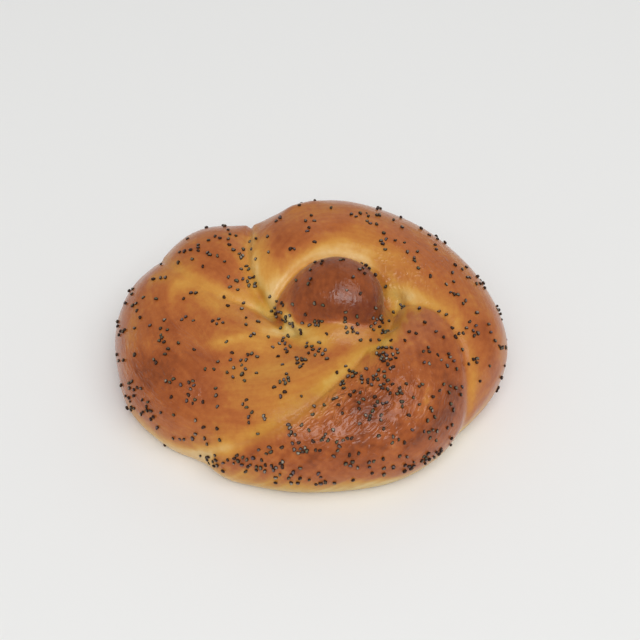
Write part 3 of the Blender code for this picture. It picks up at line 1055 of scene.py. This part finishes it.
# %% The whole crust material
def crust_material():
    """A matt base with a faint sheen, below a clear coat that is as strong as the egg is thick."""
    material, tree, shader = new_material(
        "egg_washed_crust", Roughness=0.55, IOR=1.45, Specular_IOR_Level=0.12,
        Coat_Roughness=0.18, Coat_IOR=1.45, Sheen_Weight=0.10, Sheen_Roughness=0.4)
    place = add_node(tree, "ShaderNodeTexCoord").outputs["Object"]
    normal = crust_normal(tree, place)
    set_inputs(tree, shader, Base_Color=crust_colour(tree, place), Coat_Weight=stored(tree, "glaze")["Fac"],
               Normal=normal, Coat_Normal=normal)
    return material


crust.data.materials.append(crust_material())
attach(crust, "root")
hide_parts("bun")
print("crust nodes:", len(crust.data.materials[0].node_tree.nodes))

# %% [markdown]
# ## Poppy seeds
# A poppy seed is a kidney about a millimetre long. It is a ball of a few dozen faces, bent along its
# length with a dent on the inner side. All the seeds are one mesh: the same small grid is turned and
# moved to each place at once.

# %% One seed
SEED_LENGTH, SEED_WIDTH, SEED_THICKNESS = 1.12, 0.92, 0.80
SEED_RINGS, SEED_SIDES = 5, 8
SEED_BEND = 0.25
DENT_DEPTH, DENT_WIDTH = 0.35, 0.25


def seed_shape():
    """Points of one seed in mm: an ellipsoid, dented on one side and bent sideways as a parabola."""
    tilt = np.linspace(0, math.pi, SEED_RINGS + 2)[1:-1]
    turn = np.linspace(0, 2 * math.pi, SEED_SIDES, endpoint=False)
    tilt, turn = np.meshgrid(tilt, turn, indexing="ij")
    x = np.cos(tilt) * SEED_LENGTH / 2
    y = np.sin(tilt) * np.cos(turn) * SEED_WIDTH / 2
    z = np.sin(tilt) * np.sin(turn) * SEED_THICKNESS / 2
    dented = y * (1 - DENT_DEPTH * bell(x, DENT_WIDTH))
    y = np.where(y < 0, dented, y) - SEED_BEND * x**2
    rings = np.column_stack([x.ravel(), y.ravel(), z.ravel()])
    tip = SEED_BEND * (SEED_LENGTH / 2) ** 2
    return np.vstack([rings, [[SEED_LENGTH / 2, -tip, 0], [-SEED_LENGTH / 2, -tip, 0]]])


seed_points = seed_shape()
seed_quads = ring_faces(SEED_RINGS, SEED_SIDES)
seed_ends = pole_faces(SEED_RINGS, SEED_SIDES)
print("triangles of one seed:", 2 * len(seed_quads) + len(seed_ends))

# %% [markdown]
# ## Where the seeds lie
# Seeds are sprinkled before baking, so they gather in the folds and where the egg was wettest, and roll
# off the steep sides. Each drift is a short line on the crust with a number of seeds, and the rest are
# spread at random, by area.

# %% Drifts of seeds
# where a drift starts and ends, how far its seeds spread to each side, and how many there are
SEED_DRIFTS = [
    ((-10, -2, 30), (-6, -8, 30), 1.0, 14),
    ((-4, -9, 30), (-2, -10, 30), 1.2, 7),
    ((2, -12, 30), (5, -13, 27), 1.4, 5),
    ((-1, -14, 27), (3, -17, 28), 0.9, 12),
    ((2, -18, 28), (-3, -20, 28), 0.8, 14),
    ((-7, -11, 29), (-5, -13, 28), 1.3, 8),
    ((-15, -19, 28), (-7, -17, 28), 1.8, 10),
    ((-6, -25, 28), (-5, -27, 28), 1.2, 5),
    ((18, -6, 31), (19, -12, 32), 0.9, 12),
    ((17, -11, 31), (17, -15, 32), 1.0, 6),
    ((20, -18, 32), (17, -21, 32), 1.0, 12),
    ((19, -21, 32), (17, -26, 31), 1.1, 14),
    ((11, -24, 29), (14, -27, 30), 1.3, 9),
    ((15, -28, 30), (20, -29, 31), 1.3, 8),
    ((22, -31, 30), (28, -32, 28), 2.4, 18),
    ((15, -36, 28), (17, -37, 27), 1.2, 6),
    ((6, -32, 27), (8, -34, 27), 0.9, 4),
    ((-5, -37, 22), (-2, -39, 22), 1.4, 9),
    ((-12, -39, 18), (-10, -40, 17), 1.2, 5),
    ((-4, -41, 20), (-2, -42, 19), 0.9, 12),
    ((4, -41, 22), (7, -43, 21), 1.6, 12),
    ((-27, -34, 7), (-18, -39, 12), 1.3, 24),
    ((-14, -41, 13), (-9, -42, 14), 1.5, 14),
    ((-8, -43, 9), (-5, -44, 12), 1.1, 8),
    ((2, -45, 11), (4, -45, 9), 1.2, 8),
    ((12, -45, 15), (19, -44, 12), 1.6, 12),
    ((25, -41, 11), (33, -35, 10), 1.4, 26),
    ((31, -36, 20), (32, -37, 18), 1.0, 5),
    ((-46, -15, 12), (-35, -29, 10), 3.5, 22),
    ((-31, -26, 22), (-27, -28, 23), 0.9, 3),
    ((-27, 21, 32), (-19, 18, 33), 2.6, 8),
    ((-21, 19, 34), (-15, 6, 32), 0.9, 14),
    ((14, 6, 37), (16, 4, 36), 1.0, 6),
    ((-4, 2, 37), (9, 5, 41), 1.4, 8),
    ((24, 1, 30), (27, -1, 31), 1.2, 6),
    ((39, -7, 30), (44, -8, 27), 1.8, 10),
    ((43, -15, 24), (46, -14, 23), 1.0, 4),
    ((34, -26, 27), (40, -24, 22), 1.3, 8),
]
print("drifts:", len(SEED_DRIFTS), "with", sum(count for *_, count in SEED_DRIFTS), "seeds")

# %% How likely a seed is at each point
# the share of the scattered seeds that is lost on pale dough, on the side that faces away, on steep places,
# in the golden ring behind the knob, and on the knob
LOST_ON_PALE, LOST_BEHIND, LOST_ON_STEEP, LOST_IN_RING, LOST_ON_KNOB = 0.65, 0.75, 0.6, 0.85, 0.45


def point_areas():
    """The area of each point's own patch of the grid, from its two sides; the poles get none."""
    grid = crust_points[:RINGS * BEARINGS].reshape(RINGS, BEARINGS, 3)
    down = np.linalg.norm(np.gradient(grid, axis=0), axis=2)
    across = np.linalg.norm(grid - np.roll(grid, 1, axis=1), axis=2)
    return np.concatenate([(down * across).ravel(), [0, 0]])


def scatter_chance():
    """How likely a scattered seed is at each point: its area, times what each cause leaves, in clumps."""
    above_rim = soft_step(crust_points[:, 2], 2.0, 7.0)
    on_brown = 1 - LOST_ON_PALE * soft_step(0.45 - bake_and_painted_light, 0.0, 0.2)
    not_behind = 1 - LOST_BEHIND * soft_step(out[:, 1], 0.0, 0.5)
    level = (1 - LOST_ON_STEEP) + LOST_ON_STEEP * soft_step(out[:, 2], 0.1, 0.6)
    off_knob = (1 - LOST_IN_RING * in_fold("knob", "back", 2.5, 5.0)) * (1 - LOST_ON_KNOB * on_knob)
    clumps = np.exp(1.6 * noise(skin, 4.0, seed=22))
    return point_areas() * above_rim * on_brown * not_behind * level * off_knob * clumps


print("the whole skin with its base:", round(point_areas().sum() / 100), "square centimetres")

# %% Choose the places
SCATTERED_SEEDS = 460
SEED_GAP = 0.75


def pick(draw, chance, count):
    """Different points, each as likely as its chance says."""
    return list(draw.choice(len(chance), count, replace=False, p=chance / chance.sum()))


def spread_out(chosen, gap):
    """Keeps each place only if it is at least the gap away from those kept before it."""
    kept = []
    for number in chosen:
        if not kept or np.linalg.norm(crust_points[kept] - crust_points[number], axis=1).min() > gap:
            kept.append(number)
    return kept


def seed_places():
    """The scattered seeds and then those of each drift, by a bell across its line, less those too close."""
    draw = np.random.default_rng(11)
    area = point_areas()
    chosen = pick(draw, scatter_chance(), SCATTERED_SEEDS)
    for start, end, spread, count in SEED_DRIFTS:
        away = along_segment(skin, start, end)[1]
        chosen += pick(draw, area * bell(away, spread * math.sqrt(2)), count)
    return np.array(spread_out(chosen, SEED_GAP))


seed_spots = seed_places()
print("seeds:", len(seed_spots))

# %% [markdown]
# ## Turn and sink each seed
# A seed lies flat on the crust, points anywhere, leans a little and is sunk into the dried egg, some
# deeper than others. No two are quite the same size.

# %% All the seeds as one mesh
SEED_LEAN = 0.18
# how much the whole seed and each of its three sides vary, as a share
SIZE_SPREAD, SHAPE_SPREAD = 0.08, 0.06
# how deep every seed is sunk, and how much deeper the deepest is, as shares of its thickness
LEAST_SUNK, DEEPER_SUNK = 0.08, 0.5


def seeds_mesh():
    """Every seed's points, turned by its own three axes and moved to its place, as one mesh."""
    draw = np.random.default_rng(12)
    count = len(seed_spots)
    up = out[seed_spots] + draw.normal(0, SEED_LEAN, (count, 3))
    up /= np.linalg.norm(up, axis=1, keepdims=True)
    ahead = np.cross(up, draw.normal(0, 1, (count, 3)))
    ahead /= np.linalg.norm(ahead, axis=1, keepdims=True)
    turns = np.stack([ahead, np.cross(up, ahead), up], axis=1)
    size = draw.normal(1.0, SIZE_SPREAD, (count, 1, 1)) * draw.normal(1.0, SHAPE_SPREAD, (count, 1, 3))
    sunk = SEED_THICKNESS * (LEAST_SUNK + DEEPER_SUNK * draw.uniform(0, 1, (count, 1)) ** 3)
    middles = crust_points[seed_spots] + out[seed_spots] * (SEED_THICKNESS / 2 - sunk)
    # s is the seed and i its point; k is one of the seed's own axes, and j is x, y or z
    every = np.einsum("sik,skj->sij", seed_points * size, turns) + middles[:, None]
    offset = (np.arange(count) * len(seed_points))[:, None, None]
    quads, ends = (seed_quads + offset).reshape(-1, 4), (seed_ends + offset).reshape(-1, 3)
    thing = mesh_object("poppy_seeds", every.reshape(-1, 3), quads, ends)
    store(thing, "tone", np.repeat(draw.uniform(0, 1, count), len(seed_points)))
    # how high each point is on its seed: the material paints the top lighter and the underside darker, as
    # bloom and as painted light and shade
    store(thing, "upper", np.tile(seed_points[:, 2] / (SEED_THICKNESS / 2), count))
    return thing


seeds = seeds_mesh()
print("seed triangles:", sum(len(face.vertices) - 2 for face in seeds.data.polygons))

# %% [markdown]
# ## The coat of a poppy seed
# A ripe poppy seed is slate grey with a dusty bloom. Egg darkens it, so the seeds are brown black below
# and show their grey on top, each in a tone of its own; the lighter top is also painted light from above,
# and the dark underside painted shade. A net of fine ridges, made by a Voronoi pattern, breaks the shine.

# %% Poppy seed material
# the dark underside is partly egg-darkened seed and partly painted shade; the tones of the top are partly
# bloom and partly painted light
BARE_SEED_AND_SHADE = "#2e1a12"
NET_DEPTH = 0.1 * MM
BLOOM_AND_LIT_TOP_COLOURS = [(0.0, "#40261a"), (0.2, "#55453a"), (0.4, "#62634c"), (0.6, "#7d7462"), (0.8, "#6c5c60"),
                 (1.0, "#a39a88")]


def poppy_material():
    """The dark coat and painted shade below, the tone of bloom and painted light on top, by a smooth step of
    the height on the seed.
    """
    material, tree, shader = new_material("poppy_seed_coat", Roughness=0.42, IOR=1.5, Specular_IOR_Level=0.18)
    bloom_and_lit_top = add_node(tree, "ShaderNodeValToRGB", Fac=stored(tree, "tone")["Fac"])
    fill_ramp(bloom_and_lit_top, BLOOM_AND_LIT_TOP_COLOURS)
    top = add_node(tree, "ShaderNodeMapRange", {"interpolation_type": "SMOOTHSTEP"},
                   Value=stored(tree, "upper")["Fac"], From_Min=0.40, From_Max=1.0)
    coat = add_node(tree, "ShaderNodeMix", {"data_type": "RGBA"},
                    _0=top.outputs["Result"], _6=linear(BARE_SEED_AND_SHADE), _7=bloom_and_lit_top.outputs["Color"])
    place = add_node(tree, "ShaderNodeTexCoord").outputs["Object"]
    cells = add_node(tree, "ShaderNodeTexVoronoi", Vector=place, Scale=6000.0)
    net = add_node(tree, "ShaderNodeBump", Height=cells.outputs["Distance"], Strength=0.4, Distance=NET_DEPTH)
    set_inputs(tree, shader, Base_Color=coat.outputs[2], Normal=net.outputs["Normal"])
    return material


seeds.data.materials.append(poppy_material())
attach(seeds, "root")
print("tones of bloom:", len(BLOOM_AND_LIT_TOP_COLOURS))

# %% [markdown]
# ## The table and the light
# The bun stands on a pale matt card in a bright room. The main light is a wide oval softbox above it, a
# little in front and to the right. A second one further forward gives the broad shine on the ropes, and a
# weak one behind lifts the far side. Wide lights leave a soft shadow, and their oval shape leaves no
# corners in the shine.

# %% Studio
FLOOR_SIZE = 6.0
ROOM_LIGHT = 0.378
LIT_PLACE = (0, 0, 0.02)
# a name, where it hangs and how wide it is each way, in metres, and its power in watts
SOFTBOXES = [
    ("key_softbox", (0.50, -0.88, 1.92), (2.5, 1.7), 22.2),
    ("front_softbox", (-0.1, -1.6, 1.9), (2.0, 1.2), 19.6),
    ("back_softbox", (0.7, 1.8, 1.5), (1.6, 1.6), 2.5),
]


def hang_softbox(name, place, size, power):
    """An oval light that faces the bun: turned to its bearing, and tipped by its angle from straight down."""
    data = bpy.data.lights.new(name, "AREA")
    data.shape = "ELLIPSE"
    data.size, data.size_y = size
    data.energy = power
    light = bpy.data.objects.new(name, data)
    light.location = place
    way = np.array(LIT_PLACE) - place
    tip = math.atan2(math.hypot(way[0], way[1]), -way[2])
    light.rotation_euler = (tip, 0, math.atan2(way[1], way[0]) - math.pi / 2)
    bpy.context.scene.collection.objects.link(light)


bpy.ops.mesh.primitive_plane_add(size=FLOOR_SIZE)
floor = bpy.context.object
floor.name = "table_top"
floor.data.materials.append(new_material("matt_white_card", Base_Color=linear("#ededec"), Roughness=0.9)[0])

world = bpy.data.worlds.new("bright_room")
world.use_nodes = True
set_inputs(world.node_tree, world.node_tree.nodes["Background"], Color=linear("#fffffe"), Strength=ROOM_LIGHT)
bpy.context.scene.world = world
for name, place, size, power in SOFTBOXES:
    hang_softbox(name, place, size, power)
bpy.context.scene.view_settings.view_transform = "Standard"
print("softboxes:", len(SOFTBOXES), "with", sum(power for *_, power in SOFTBOXES), "watts in all")

# %% [markdown]
# ## The camera
# It looks down at 45 degrees through a long lens from about 40 cm, as in a photograph of food on a table.

# %% Camera
VIEW_DOWN = math.radians(45)
VIEW_DISTANCE = 405.0
AIM = np.array([2.7, 1.0, 22.5])
FOCAL_LENGTH = 85
SENSOR_WIDTH = 36

lens = bpy.data.cameras.new("camera")
lens.lens = FOCAL_LENGTH
lens.sensor_width = SENSOR_WIDTH
camera = bpy.data.objects.new("camera", lens)
back_off = np.array([0, -math.cos(VIEW_DOWN), math.sin(VIEW_DOWN)]) * VIEW_DISTANCE
camera.location = (AIM + to_frame + back_off) * MM
camera.rotation_euler = (math.pi / 2 - VIEW_DOWN, 0, 0)
bpy.context.scene.collection.objects.link(camera)
bpy.context.scene.camera = camera
print("camera at", np.round(camera.location, 3), "m")
